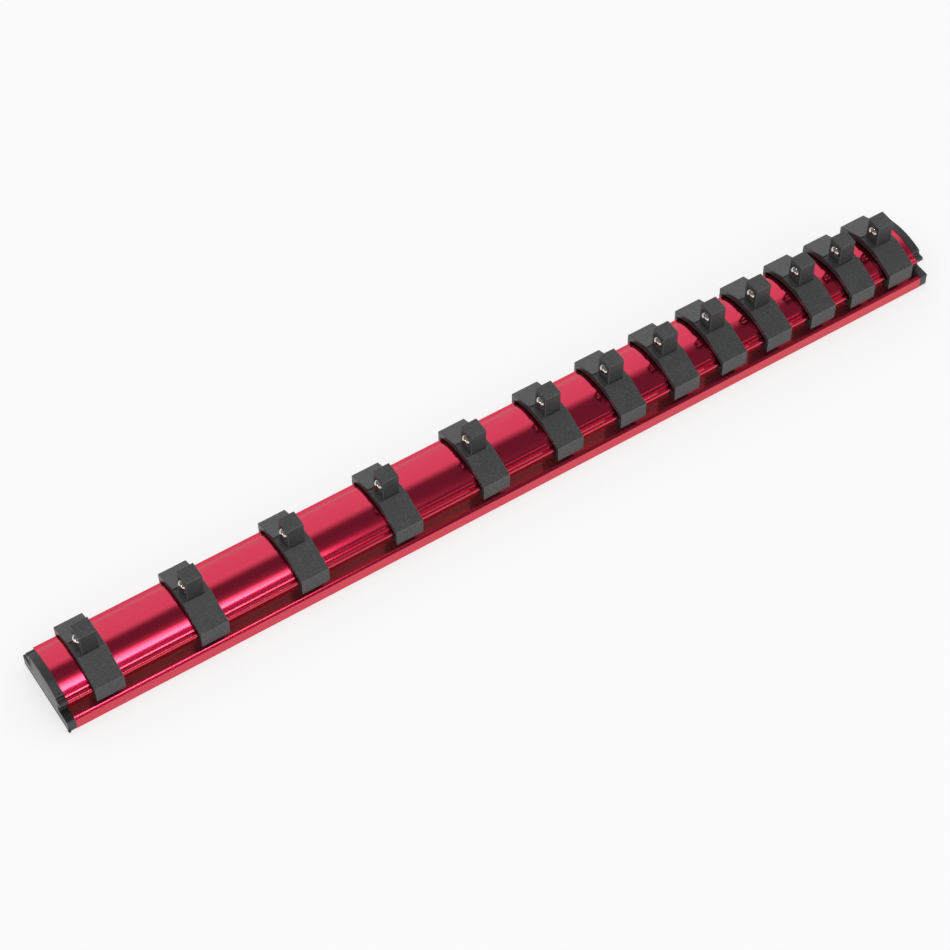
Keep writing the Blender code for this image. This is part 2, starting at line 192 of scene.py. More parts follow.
class FinishColours(bpy.types.PropertyGroup):
    """Colours of the finishes, and of the painted highlights, reflections and shade on them."""

    anodised: colour("Anodised red", "Colour of the anodised aluminium", (0.69, 0.007, 0.064))
    anodised_deep: colour("Anodised red, deep", "Colour along the darker die lines", (0.63, 0.005, 0.054))
    # Painted reflection: a greyish line along the back of the crown
    anodised_line_reflection: colour("Anodised red, worn", "Colour along the rubbed line", (0.40, 0.11, 0.12))
    # Painted shade: a darker, greyer red inside the two channels
    anodised_shaded: colour("Anodised red, dull", "Colour inside the two channels", (0.46, 0.09, 0.10))
    anodised_edge: colour("Anodised red, edge", "Tint of the metal at grazing angles", (0.85, 0.08, 0.16))
    plastic: colour("Clip plastic", "Colour of the clips", (0.043, 0.044, 0.045))
    plastic_worn: colour("Clip plastic, worn", "Colour of the clips' rubbed patches", (0.110, 0.111, 0.112))
    # Painted highlight on the clips' rounded edges
    plastic_painted_highlight: colour("Clip plastic, edges", "Colour of the clips' rubbed edges", (0.190, 0.191, 0.193))
    cap_plastic: colour("Cap plastic", "Colour of the end caps", (0.021, 0.0215, 0.022))
    cap_plastic_worn: colour("Cap plastic, worn", "Colour of the caps' rubbed patches", (0.05, 0.05, 0.051))
    # Painted highlight on the caps' rounded edges
    cap_plastic_painted_highlight: colour("Cap plastic, edges", "Colour of the caps' rubbed edges", (0.09, 0.09, 0.091))
    # Painted reflection of the floor, low on the caps' outer faces
    cap_plastic_floor_reflection: colour("Cap plastic, dusty", "Colour low on the caps' outer faces", (0.12, 0.12, 0.12))
    ball: colour("Ball steel", "Colour of the polished balls", (0.80, 0.77, 0.70))
    spring: colour("Spring steel", "Colour of the coil springs", (0.42, 0.41, 0.39))
    floor: colour("Floor", "Colour of the floor", (0.86, 0.86, 0.86))


class StudioSettings(bpy.types.PropertyGroup):
    """Camera, lamps and floor."""

    camera_place: FloatVectorProperty(
        name="Camera place", description="Where the camera stands", default=(-0.2996, -0.4606, 0.7150),
        unit="LENGTH",
    )
    camera_target: FloatVectorProperty(
        name="Camera target", description="What the camera looks at", default=(-0.0152, -0.0083, 0.0134),
        unit="LENGTH",
    )
    camera_roll: FloatProperty(
        name="Camera roll", description="Turn about its own axis", default=math.radians(-0.79),
        unit="ROTATION",
    )
    camera_lens: FloatProperty(name="Lens", description="Focal length in millimetres", default=98.87, min=1)
    surround: FloatProperty(name="Surround", description="Light from all round", default=0.62, min=0)
    window: FloatVectorProperty(
        name="Window", description="Direction of the window on the left", default=(-0.98, -0.13, 0.08)
    )
    window_radius: angle("Window radius", "Angle between the window's middle and its rim", 10)
    window_light: FloatProperty(
        name="Window light", description="Strength of the window over the wall's", default=26.0, min=0
    )
    ceiling: share("Ceiling", "Brightness of the ceiling in reflections, where the walls' is 1", 0.17)
    backdrop: share("Backdrop", "Brightness that the camera sees past the floor", 0.94)
    floor_glow: share("Floor glow", "Share of its own glow in the floor that the camera sees", 0.45)
    floor_boost: share("Floor boost", "How much brighter that glow is to the camera", 0.38)
    floor_mirrored: share("Mirrored floor", "Share of its own glow in the floor that reflections see", 0.8)
    softbox: FloatProperty(
        name="Softbox", description="Radiance of the softbox at its brightest", default=7.2, min=0
    )
    softbox_place: FloatVectorProperty(
        name="Softbox place", description="Middle of the softbox", default=(0.125, 0.0425, 1.0),
        unit="LENGTH",
    )
    softbox_width: length("Softbox width", "Size of the softbox along the rail", 0.65)
    softbox_depth: length("Softbox depth", "Size of the softbox across the rail", 0.315)


class SocketRailSettings(bpy.types.PropertyGroup):
    """All settings of the socket rail."""

    rail: PointerProperty(type=RailSizes)
    cap: PointerProperty(type=CapSizes)
    clip: PointerProperty(type=ClipSizes)
    ball: PointerProperty(type=BallSizes)
    finish: PointerProperty(type=FinishColours)
    studio: PointerProperty(type=StudioSettings)


class Shade:
    """A shader socket that can stand in a sum, and that can make any other node in its tree."""

    def __init__(self, tree, socket=None):
        self.tree = tree
        self.socket = socket

    def node(self, kind, sockets=None, output=0, **settings):
        """Make a node: first its settings, then the values or links of its sockets."""
        made = self.tree.nodes.new(kind)
        for name, value in settings.items():
            if name == "stops":
                ramp = made.color_ramp.elements
                for index, (place, shade) in enumerate(value):
                    stop = ramp[index] if index < len(ramp) else ramp.new(place)
                    stop.position = place
                    stop.color = (shade, shade, shade, 1)
            else:
                setattr(made, name, value)
        for name, value in (sockets or {}).items():
            if isinstance(value, Shade):
                self.tree.links.new(value.socket, made.inputs[name])
            else:
                made.inputs[name].default_value = value
        return Shade(self.tree, made.outputs[output] if made.outputs else None)

    def math(self, operation, first, second):
        return self.node("ShaderNodeMath", {0: first, 1: second}, operation=operation)

    def __add__(self, other):
        return self.math("ADD", self, other)

    __radd__ = __add__

    def __mul__(self, other):
        return self.math("MULTIPLY", self, other)

    __rmul__ = __mul__

    def __sub__(self, other):
        return self.math("SUBTRACT", self, other)

    def __rsub__(self, other):
        return self.math("SUBTRACT", other, self)

    def absolute(self):
        return self.node("ShaderNodeMath", {0: self}, operation="ABSOLUTE")

    def parts(self):
        """The three components of this vector."""
        outputs = self.node("ShaderNodeSeparateXYZ", {0: self}).socket.node.outputs
        return [Shade(self.tree, socket) for socket in outputs]

    def mixed(self, first, second):
        """Blend two colours by this value."""
        return self.node("ShaderNodeMix", {0: self, 6: first, 7: second}, 2, data_type="RGBA")

    def ramped(self, stops):
        """Send this value through a ramp of (place, grey) stops."""
        return self.node("ShaderNodeValToRGB", {0: self}, stops=stops)

    def ranged(self, low, high, to_low=0.0, to_high=1.0):
        """Stretch the span from low to high over another span, and clamp it."""
        spans = {1: low, 2: high, 3: to_low, 4: to_high}
        return self.node("ShaderNodeMapRange", {0: self, **spans})


def new_material(name):
    """A material with its shader maths started, its object coordinates and its Principled BSDF."""
    material = bpy.data.materials.new(name)
    material.use_nodes = True
    tree = material.node_tree
    place = Shade(tree).node("ShaderNodeTexCoord", output=3)
    return material, place, tree.nodes["Principled BSDF"]


def stretched(place, scale):
    """Object coordinates with a scale of their own along each axis."""
    return place.node("ShaderNodeMapping", {"Vector": place, "Scale": scale})


def noise(place, scale, detail=2.0, roughness=0.5):
    sockets = {"Vector": place, "Scale": scale, "Detail": detail, "Roughness": roughness}
    return place.node("ShaderNodeTexNoise", sockets)


def plug_in(place, shader, **values):
    """Link or set sockets of the Principled BSDF by their names, with underscores for spaces."""
    for name, value in values.items():
        socket = shader.inputs[name.replace("_", " ").title()]
        if isinstance(value, Shade):
            place.tree.links.new(value.socket, socket)
        else:
            socket.default_value = value


def rgba(values):
    return (*values, 1.0)


def anodised_aluminium(finish):
    """Metal under a clear anodised skin, with faint die lines, one painted reflection line along the
    extrusion and painted shade in its two channels.
    """
    material, place, shader = new_material("red_anodised_aluminium")
    lines = noise(stretched(place, (6, 2600, 2600)), 1.0, 3.0)
    fine_lines = noise(stretched(place, (30, 9000, 9000)), 1.0, 2.0)
    haze = noise(place, 60.0, 3.0)
    across, height = place.parts()[1:]
    # The painted reflection line along the back of the crown fades in and out over 0.3 mm on each side
    rubbed = across.ranged(0.0088, 0.0091) - across.ranged(0.0093, 0.0096)
    # The two channels, which take painted shade: above the base, below the lips and inside the walls
    channel = height.ranged(0.0005, 0.0015) * height.ranged(0.0036, 0.0044, 1.0, 0.0)
    wall_face = RAIL_HIGH.y - 0.0011, RAIL_HIGH.y - 0.0008
    channel = channel * across.absolute().ranged(*wall_face, 1.0, 0.0)
    tone = lines.ranged(0.35, 0.65).mixed(rgba(finish.anodised), rgba(finish.anodised_deep))
    # Painted shade: the channels take a darker, greyer red
    tone = channel.mixed(tone, rgba(finish.anodised_shaded))
    # Mix in the painted reflection line along the back of the crown
    tone = (rubbed * 0.8).mixed(tone, rgba(finish.anodised_line_reflection))
    roughness = 0.135 + haze.ranged(0.3, 0.7, 0.0, 0.012) + lines.ranged(0.4, 0.7, 0.0, 0.012)
    relief = lines * 0.7 + fine_lines * 0.3
    bump = place.node("ShaderNodeBump", {"Strength": 0.02, "Distance": 0.00001, "Height": relief})
    plug_in(place, shader, base_color=tone, roughness=roughness, normal=bump, metallic=1.0 - channel * 0.6)
    plug_in(place, shader, specular_tint=rgba(finish.anodised_edge), coat_weight=1.0, coat_roughness=0.03)
    shader.inputs["Coat IOR"].default_value = 1.49
    return material


def satin_plastic(name, base, worn_base, highlight_base, floor_reflection_base):
    """Satin black plastic: fine grain of its mould, rubbed patches, painted highlights on rounded edges, and
    a painted floor reflection low on the end faces.
    """
    material, place, shader = new_material(name)
    grain = noise(place, 4200.0, 2.0, 0.6)
    mottle = noise(place, 1900.0, 4.0, 0.65)
    patches = noise(place, 140.0, 3.0)
    worn = mottle.ranged(0.48, 0.66) * patches.ranged(0.4, 0.7, 0.5, 1.0)
    tone = worn.mixed(rgba(base), rgba(worn_base))
    facing = place.node("ShaderNodeNewGeometry", output=1)
    facing = facing.node("ShaderNodeVectorMath", {0: facing}, operation="ABSOLUTE")
    endways, sideways = facing.parts()[:2]
    height = place.parts()[2]
    # Rounded edges face between the flat sides, so their normals pick them out for a painted highlight
    edges = sideways.ranged(0.50, 0.66) * sideways.ranged(0.86, 0.97, 1.0, 0.0)
    edges = edges + endways.ranged(0.45, 0.6) * endways.ranged(0.8, 0.93, 0.4, 0.0)
    # Painted highlight on the rounded edges, broken up by the grain
    tone = (edges * grain.ranged(0.30, 0.55, 0.5, 1.0)).mixed(tone, rgba(highlight_base))
    # Painted reflection of the floor: end faces take the end colour towards the bottom
    low_ends = endways.ranged(0.85, 0.95) * height.ranged(0.0015, 0.0105, 1.0, 0.0)
    tone = low_ends.mixed(tone, rgba(floor_reflection_base))
    roughness = 0.30 + grain * 0.10 + patches.ranged(0.3, 0.7, 0.0, 0.06)
    relief = grain * 0.6 + mottle * 0.4
    bump = place.node("ShaderNodeBump", {"Strength": 0.6, "Distance": 0.0001, "Height": relief})
    plug_in(place, shader, base_color=tone, roughness=roughness, normal=bump, metallic=0.0)
    return material


def clip_plastic(finish):
    tones = finish.plastic, finish.plastic_worn, finish.plastic_painted_highlight, finish.plastic
    return satin_plastic("black_clip_plastic", *tones)


def cap_plastic(finish):
    tones = finish.cap_plastic, finish.cap_plastic_worn, finish.cap_plastic_painted_highlight, finish.cap_plastic_floor_reflection
    return satin_plastic("black_cap_plastic", *tones)


def polished_steel(finish):
    """Polished bearing ball with faint handling marks."""
    material, place, shader = new_material("polished_ball_steel")
    haze = noise(place, 900.0, 3.0)
    tone = haze.ranged(0.4, 0.7).mixed(rgba(finish.ball), rgba([value * 0.9 for value in finish.ball]))
    plug_in(place, shader, base_color=tone, roughness=0.07 + haze * 0.06, metallic=1.0)
    return material


def spring_steel(finish):
    """Drawn wire with a dull, slightly uneven finish."""
    material, place, shader = new_material("drawn_spring_steel")
    drawn = noise(place, 5000.0, 3.0)
    tone = drawn.ranged(0.3, 0.7).mixed(rgba(finish.spring), rgba([value * 0.7 for value in finish.spring]))
    plug_in(place, shader, base_color=tone, roughness=0.26 + drawn * 0.12, metallic=1.0)
    return material


def arc(centre, radius, start, end, steps):
    """Points on an arc in the YZ plane; the angles run in degrees from +Y towards +Z."""
    turns = [math.radians(start + (end - start) * step / steps) for step in range(steps + 1)]
    return [(centre[0] + radius * math.cos(turn), centre[1] + radius * math.sin(turn)) for turn in turns]


class Crown:
    """The crown's arc, about one centre for every radius."""

    def __init__(self, rail):
        self.radius = rail.crown_radius
        self.centre_z = RAIL_HIGH.z - rail.crown_radius

    def height(self, y, radius):
        return self.centre_z + math.sqrt(radius ** 2 - y ** 2)

    def angle(self, y, radius):
        return math.degrees(math.acos(y / radius))

    def points(self, y_start, y_end, radius, steps):
        start, end = self.angle(y_start, radius), self.angle(y_end, radius)
        return arc((0, self.centre_z), radius, start, end, steps)

    def nose(self, rail):
        """Centre of the lip's round nose, which touches the crown from inside."""
        y = rail.lip_span / 2 - rail.lip_radius
        return y, self.height(y, self.radius - rail.lip_radius)

    def brow(self, rail):
        """The strip beside the crown's arc, whose slope eases off towards the step."""
        start, end = rail.crown_span / 2, rail.brow_span / 2
        steps = 12
        slope = math.pi / 2 - math.radians(self.angle(start, self.radius))
        outline = [(start, self.height(start, self.radius - rail.brow_depth))]
        for step in range(steps):
            share_done = (step + 0.5) / steps
            lean = slope + (rail.brow_slope - slope) * share_done ** 2
            width = (end - start) / steps
            outline.append((outline[-1][0] + width, outline[-1][1] - width * math.tan(lean)))
        return outline

    def lip(self, rail):
        """The brow, the step, the ledge, and the lip's domed top and nose, down to the underside."""
        outline = self.brow(rail)
        foot = (outline[-1][0], outline[-1][1] - rail.step_height)
        edge = (foot[0] + rail.ledge_width, foot[1] - rail.ledge_width * math.tan(rail.ledge_slope))
        ledge, slope, top_radius = rail.ledge_slope, rail.lip_top_slope, rail.lip_top_radius
        dome = (edge[0] - top_radius * math.sin(ledge), edge[1] - top_radius * math.cos(ledge))
        meeting = (dome[0] + top_radius * math.sin(slope), dome[1] + top_radius * math.cos(slope))
        radius = (rail.lip_span / 2 - meeting[0]) / (1 - math.sin(slope))
        nose = (meeting[0] - radius * math.sin(slope), meeting[1] - radius * math.cos(slope))
        underside = self.nose(rail)[1] - rail.lip_radius
        outline += [foot]
        outline += arc(dome, top_radius, 90 - math.degrees(ledge), 90 - math.degrees(slope), 12)
        outline += arc(nose, radius, 90 - math.degrees(slope), 0, 10)
        foot_radius = rail.lip_foot_radius
        foot_centre = (rail.lip_span / 2 - foot_radius, underside + foot_radius)
        return outline + arc(foot_centre, foot_radius, 0, -90, 10)


def solid_from_half(outline, low_x, high_x):
    """A section along X from half of its outline, which starts and ends on the middle plane."""
    shape = bmesh.new()
    face = shape.faces.new([shape.verts.new((low_x, y, z)) for y, z in outline])
    grown = bmesh.ops.extrude_face_region(shape, geom=[face])["geom"]
    far = [item for item in grown if isinstance(item, bmesh.types.BMVert)]
    bmesh.ops.translate(shape, verts=far, vec=(high_x - low_x, 0, 0))
    middle = [side for side in shape.faces if all(abs(vert.co.y) < WELD for vert in side.verts)]
    bmesh.ops.delete(shape, geom=middle, context="FACES_ONLY")
    half = shape.verts[:] + shape.edges[:] + shape.faces[:]
    bmesh.ops.mirror(shape, geom=half, axis="Y", merge_dist=WELD)
    bmesh.ops.recalc_face_normals(shape, faces=shape.faces)
    return shape


def round_edges(shape, radius, chosen, segments=3):
    """Round the edges that the chosen test picks."""
    edges = [edge for edge in shape.edges if len(edge.link_faces) == 2 and chosen(edge)]
    bmesh.ops.bevel(
        shape, geom=edges, offset=radius, segments=segments, profile=0.5, affect="EDGES", material=-1,
        clamp_overlap=True,
    )


def turn_of(edge):
    return math.degrees(edge.calc_face_angle())


def runs_along(edge, axis):
    span = edge.verts[1].co - edge.verts[0].co
    return abs(span[axis]) > 0.99 * span.length


def lies_at(edge, axis, place):
    return all(abs(vert.co[axis] - place) < WELD for vert in edge.verts)


def cut_across(shape, x):
    """Add a ring of edges across the shape."""
    everything = shape.verts[:] + shape.edges[:] + shape.faces[:]
    bmesh.ops.bisect_plane(shape, geom=everything, plane_co=(x, 0, 0), plane_no=(1, 0, 0))


def to_piece(shape, name, material=None):
    """Turn a bmesh into a smooth-shaded object at the origin."""
    mesh = bpy.data.meshes.new(name)
    shape.to_mesh(mesh)
    shape.free()
    return add_piece(name, mesh, material)


def add_piece(name, mesh, material=None):
    if material:
        mesh.materials.clear()
        mesh.materials.append(material)
    piece = bpy.data.objects.new(name, mesh)
    bpy.context.scene.collection.objects.link(piece)
    return piece


def shade(piece):
    """Shade smooth, with sharp edges kept sharp and flat faces kept flat."""
    piece.data.shade_smooth()
    piece.data.set_sharp_from_angle(angle=SHARP_ANGLE)
    normals = piece.modifiers.new("flat_faces", "WEIGHTED_NORMAL")
    normals.keep_sharp = True


def fit(piece, tool, operation, solver="EXACT"):
    """Join the tool to the piece, or cut it out, and remove the tool."""
    boolean = piece.modifiers.new("fit", "BOOLEAN")
    boolean.operation = operation
    boolean.solver = solver
    boolean.object = tool
    depsgraph = bpy.context.evaluated_depsgraph_get()
    mesh = bpy.data.meshes.new_from_object(piece.evaluated_get(depsgraph))
    piece.modifiers.clear()
    piece.data = mesh
    bpy.data.objects.remove(tool, do_unlink=True)


def block(size, centre):
    """A box, ready for its edges to be rounded."""
    shape = bmesh.new()
    bmesh.ops.create_cube(shape, size=1, matrix=Matrix.Translation(centre) @ Matrix.Diagonal((*size, 1)))
    return shape


def turned(profile, steps, axis, centre):
    """A solid turned about an axis, from (radius, distance along the axis) points."""
    shape = bmesh.new()
    verts = [shape.verts.new((radius, 0, along)) for radius, along in profile]
    edges = [shape.edges.new(pair) for pair in zip(verts, verts[1:])]
    bmesh.ops.spin(
        shape, geom=verts + edges, cent=(0, 0, 0), axis=(0, 0, 1), angle=math.tau, steps=steps,
        use_merge=True,
    )
    bmesh.ops.remove_doubles(shape, verts=shape.verts, dist=WELD)
    bmesh.ops.recalc_face_normals(shape, faces=shape.faces)
    turn = Vector((0, 0, 1)).rotation_difference(Vector(axis)).to_matrix().to_4x4()
    bmesh.ops.transform(shape, matrix=Matrix.Translation(centre) @ turn, verts=shape.verts)
    return shape


def core_outline(rail, crown, inset):
    """Half of the rail's hollow core, drawn in by an inset."""
    side = rail.web_span / 2 - rail.web_thickness - inset
    radius = crown.radius - rail.crown_thickness - inset
    floor_z = rail.base_thickness + inset
    return crown.points(0, side, radius, 12) + [(side, floor_z), (0, floor_z)]


class RailOperator(bpy.types.Operator):
    """Build the anodised extrusion"""

    bl_idname = "socket_rail.extrusion"
    bl_label = "Rail Extrusion"

    def execute(self, context):
        settings = context.scene.socket_rail
        rail = settings.rail
        crown = Crown(rail)
        half_width = RAIL_HIGH.y
        half_web = rail.web_span / 2
        wall_inner = half_width - rail.wall_thickness
        lip_foot = crown.brow(rail)[-1][1] - rail.step_height
        outline = crown.points(0, rail.crown_span / 2, crown.radius, 40)
        outline += crown.lip(rail)
        outline += [
            (half_web, outline[-1][1]),
            (half_web, rail.base_thickness),
            (wall_inner, rail.base_thickness),
        ]
        outline += self.wall_top(rail, wall_inner, half_width)
        outline += [(half_width, 0), (0, 0)]
        outline += reversed(core_outline(rail, crown, 0))
        shape = solid_from_half(without_repeats(outline), RAIL_LOW.x, RAIL_HIGH.x)

        def corner(edge):
            off_lip_foot = abs(edge.verts[0].co.z - lip_foot) > WELD
            return runs_along(edge, 0) and turn_of(edge) > 50 and off_lip_foot

        round_edges(shape, rail.corner_radius, corner)
        piece = to_piece(shape, "anodised_rail", anodised_aluminium(settings.finish))
        shade(piece)
        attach(piece, "base")
        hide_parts("rail")
        return {"FINISHED"}

    def wall_top(self, rail, inner, outer):
        """The top of a side wall, which leans outwards along an arc and then runs straight."""
        radius, start, end = rail.wall_top_radius, rail.wall_top_start, rail.wall_top_end
        centre = (inner - radius * math.sin(start), rail.wall_height - radius * math.cos(start))
        outline = arc(centre, radius, 90 - math.degrees(start), 90 - math.degrees(end), 10)
        last = outline[-1]
        return outline + [(outer, last[1] - (outer - last[0]) * math.tan(end))]


def without_repeats(outline):
    """Drop points that fall on the one before them."""
    kept = []
    for point in outline:
        if not kept or math.dist(kept[-1], point) > WELD:
            kept.append(point)
    return kept


class CapOperator(bpy.types.Operator):
    """Build the two end caps"""

    bl_idname = "socket_rail.end_caps"
    bl_label = "End Caps"

    def execute(self, context):
        settings = context.scene.socket_rail
        plastic = cap_plastic(settings.finish)
        left = self.cap(settings.rail, settings.cap)
        left.data.materials.clear()
        left.data.materials.append(plastic)
        turned_mesh = left.data.copy()
        turned_mesh.transform(Matrix.Rotation(math.pi, 4, "Z"))
        right = add_piece("moulded_cap_right", turned_mesh, plastic)
        for piece, node in ((left, "end_cap_left"), (right, "end_cap_right")):
            shade(piece)
            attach(piece, "base")
            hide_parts(node)
        return {"FINISHED"}

    def cap(self, rail, cap):
        """The left cap: flange, recess, hollow plug and gate nub."""
        crown = Crown(rail)
        nose = crown.nose(rail)
        inner_x = RAIL_LOW.x - cap.seat_gap
        outer_x = CAP_HIGH.x - cap.plug_length - cap.thickness
        foot_top = rail.wall_height + cap.proud
        half_width = RAIL_HIGH.y
        half_web = rail.web_span / 2
        lobe_radius = cap.lobe_thickness / 2
        lobe_foot = nose[1] - rail.lip_radius - cap.lobe_drop
        lobe = (rail.lip_span / 2 - cap.lobe_inset - lobe_radius, lobe_foot + lobe_radius)
        outline = crown.points(0, rail.crown_span / 2, crown.radius + cap.proud, 24)
        outline += [(half_web, lobe[1] + lobe_radius)] + arc(lobe, lobe_radius, 90, -90, 10)
        outline += [
            (half_web, lobe_foot),
            (half_web, foot_top),
            (half_width, foot_top),
            (half_width, 0),
            (0, 0),
        ]
        shape = solid_from_half(outline, outer_x, inner_x)
        round_edges(shape, cap.corner_radius, lambda edge: runs_along(edge, 0) and turn_of(edge) > 40)
        cut_across(shape, inner_x - cap.lobe_lead)
        waist = (foot_top + lobe_foot) / 2
        for vert in shape.verts:
            under = abs(vert.co.y) > half_web - WELD and waist < vert.co.z < lobe[1]
            if under and vert.co.x > inner_x - WELD:
                vert.co.z += (lobe[1] - vert.co.z) * cap.lobe_lead / lobe_radius
        round_edges(shape, cap.edge_radius, lambda edge: turn_of(edge) > 60 and lies_at(edge, 0, outer_x))
        piece = to_piece(shape, "moulded_cap_left")

        neck = half_web - cap.rim
        recess = crown.points(0, neck, crown.radius - cap.rim, 20) + [
            (neck, rail.wall_height - cap.rim),
            (half_width - cap.rim, rail.wall_height - cap.rim),
            (half_width - cap.rim, cap.rim),
            (0, cap.rim),
        ]
        tool = solid_from_half(recess, outer_x - OVERRUN, outer_x + cap.recess_depth)
        floor_x = outer_x + cap.recess_depth
        round_edges(tool, cap.recess_depth / 2, lambda edge: turn_of(edge) > 60 and lies_at(edge, 0, floor_x))
        # On the caps the EXACT solver leaves open edges
        fit(piece, to_piece(tool, "recess_tool"), "DIFFERENCE", "MANIFOLD")

        plug_start = outer_x + cap.recess_depth + cap.rim
        plug = solid_from_half(core_outline(rail, crown, cap.plug_gap), plug_start, CAP_HIGH.x)
        end_x = CAP_HIGH.x
        round_edges(plug, cap.corner_radius, lambda edge: turn_of(edge) > 60 and lies_at(edge, 0, end_x))
        fit(piece, to_piece(plug, "plug_tool"), "UNION", "MANIFOLD")
        hollow_outline = core_outline(rail, crown, cap.plug_gap + cap.plug_wall)
        hollow = solid_from_half(hollow_outline, inner_x + cap.rim, CAP_HIGH.x + OVERRUN)
        fit(piece, to_piece(hollow, "hollow_tool"), "DIFFERENCE", "MANIFOLD")

        reach, radius = cap.nub_reach, cap.nub_radius
        profile = [(0, reach), (radius * 0.7, reach), (radius, reach * 0.6), (radius, -reach), (0, -reach)]
        nub_place = (outer_x + radius * 0.45, -half_width, cap.nub_height)
        fit(piece, to_piece(turned(profile, 16, (0, -1, 0), nub_place), "nub_tool"), "UNION", "MANIFOLD")
        return piece


class ClipOperator(bpy.types.Operator):
    """Build the sliding clips"""

    bl_idname = "socket_rail.clips"
    bl_label = "Sliding Clips"

    def execute(self, context):
        settings = context.scene.socket_rail
        plastic = clip_plastic(settings.finish)
        pattern = self.clip(settings)
        for number in NUMBERS:
            low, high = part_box("clip_" + number)
            mesh = pattern.data.copy()
            mesh.transform(Matrix.Translation(((low.x + high.x) / 2, 0, 0)))
            piece = add_piece("moulded_clip_" + number, mesh, plastic)
            shade(piece)
            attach(piece, "clip_" + number)
            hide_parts("clip_" + number)
        bpy.data.objects.remove(pattern, do_unlink=True)
        return {"FINISHED"}

    def clip(self, settings):
        """One clip about X = 0: saddle, collar and post, with the ball's dish and bore."""
        clip = settings.clip
        half_width = (CLIP_HIGH.x - CLIP_LOW.x) / 2
        trough_z = RAIL_HIGH.z + clip.running_gap + clip.saddle_thickness
        piece = to_piece(self.saddle(settings, half_width, trough_z), "clip_pattern")

        foot_z = trough_z - clip.saddle_thickness / 2
        collar_top = trough_z + clip.collar_height
        edge_y = clip.post_width / 2 + clip.trough_margin
        collar_width = clip.post_width + 2 * clip.collar_margin
        collar_depth = 2 * (edge_y + clip.collar_bite)
        collar = block((collar_width, collar_depth, collar_top - foot_z), (0, 0, (collar_top + foot_z) / 2))

        def above_foot(edge):
            return all(vert.co.z > foot_z + WELD for vert in edge.verts)

        round_edges(collar, clip.collar_height / 2, above_foot, 2)
        fit(piece, to_piece(collar, "collar_tool"), "UNION")

        post_size = (clip.post_width, clip.post_width, CLIP_HIGH.z - foot_z)
        post = block(post_size, (0, 0, (CLIP_HIGH.z + foot_z) / 2))
        self.round_post(post, clip)
        fit(piece, to_piece(post, "post_tool"), "UNION")
        fit(piece, to_piece(self.bore(settings), "bore_tool"), "DIFFERENCE")
        return piece

    def saddle(self, settings, half_width, trough_z):
        """The saddle with its legs and hooks, and a parting groove down its sloping tops."""
        rail, clip = settings.rail, settings.clip
        crown = Crown(rail)
        nose = crown.nose(rail)
        edge_y = clip.post_width / 2 + clip.trough_margin
        leg_inner = rail.lip_span / 2 + clip.running_gap
        leg_outer = leg_inner + clip.leg_thickness
        hook_top = nose[1] - rail.lip_radius - clip.running_gap
        hook_end = leg_inner - clip.hook_reach
        leg_bottom = hook_top - clip.hook_thickness
        outline = [
            (0, trough_z),
            (edge_y, trough_z),
            (edge_y, trough_z + clip.trough_depth),
            (leg_outer, nose[1] + rail.lip_radius + clip.shoulder_cover),
            (leg_outer, leg_bottom),
            (hook_end, leg_bottom),
            (hook_end, hook_top - clip.hook_lead),
            (hook_end + clip.hook_lead, hook_top),
            (leg_inner, hook_top),
        ]
        outline += crown.points(leg_inner, 0, crown.radius + clip.running_gap, 24)
        shape = solid_from_half(outline, -half_width, half_width)
        round_edges(shape, clip.edge_radius, lambda edge: edge.is_convex and turn_of(edge) > 30)
        for offset in (-clip.parting_width / 2, 0, clip.parting_width / 2):
            cut_across(shape, offset)
        for vert in shape.verts:
            outside = abs(vert.co.y) > edge_y + clip.edge_radius and vert.normal.z > 0
            if outside and abs(vert.co.x) < WELD:
                vert.co -= vert.normal * clip.parting_depth
        return shape

    def round_post(self, post, clip):
        """Round the post's upright edges, one of them more, and then its top."""

        def soft(edge):
            return runs_along(edge, 2) and all(vert.co.x < 0 < vert.co.y for vert in edge.verts)

        def top(edge):
            return turn_of(edge) > 60 and lies_at(edge, 2, CLIP_HIGH.z)

        round_edges(post, clip.post_soft_radius, soft, 5)
        round_edges(post, clip.post_edge_radius, lambda edge: runs_along(edge, 2) and turn_of(edge) > 60)
        round_edges(post, clip.post_edge_radius, top)

    def bore(self, settings):
        """The dish, the lip that holds the ball, and the blind bore behind it."""
        ball = settings.ball
        half_post = settings.clip.post_width / 2
        radius = (BALL_HIGH.z - BALL_LOW.z) / 2
        middle = (BALL_HIGH + BALL_LOW) / 2
        ball_depth = middle.x - CLIP_MIDDLE + half_post
        lip_depth = ball.mouth_depth
        mouth = math.sqrt((radius + ball.contact_gap) ** 2 - (ball_depth - lip_depth) ** 2)
        dish = half_post * ball.dish_share
        profile = [
            (0, OVERRUN),
            (dish * 1.04, OVERRUN),
            (dish * 1.04, 0),
            (dish, -lip_depth * 0.7),
            (mouth * 1.03, -lip_depth * 0.84),
            (mouth, -lip_depth * 0.94),
            (mouth, -lip_depth),
            (radius + ball.bore_clearance, -lip_depth),
            (radius + ball.bore_clearance, -ball.bore_depth),
            (0, -ball.bore_depth),
        ]
        return turned(profile, 40, (-1, 0, 0), (-half_post, 0, middle.z))


class BallOperator(bpy.types.Operator):
    """Build the balls that hold the sockets"""

    bl_idname = "socket_rail.balls"
    bl_label = "Balls"

    def execute(self, context):
        settings = context.scene.socket_rail
        steel = polished_steel(settings.finish)
        for number in NUMBERS:
            low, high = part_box("ball_" + number)
            shape = bmesh.new()
            middle = Matrix.Translation((low + high) / 2)
            bmesh.ops.create_icosphere(shape, subdivisions=4, radius=(high.z - low.z) / 2, matrix=middle)
            piece = to_piece(shape, "steel_ball_" + number, steel)
            piece.data.shade_smooth()
            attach(piece, "ball_" + number)
            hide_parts("ball_" + number)
        return {"FINISHED"}


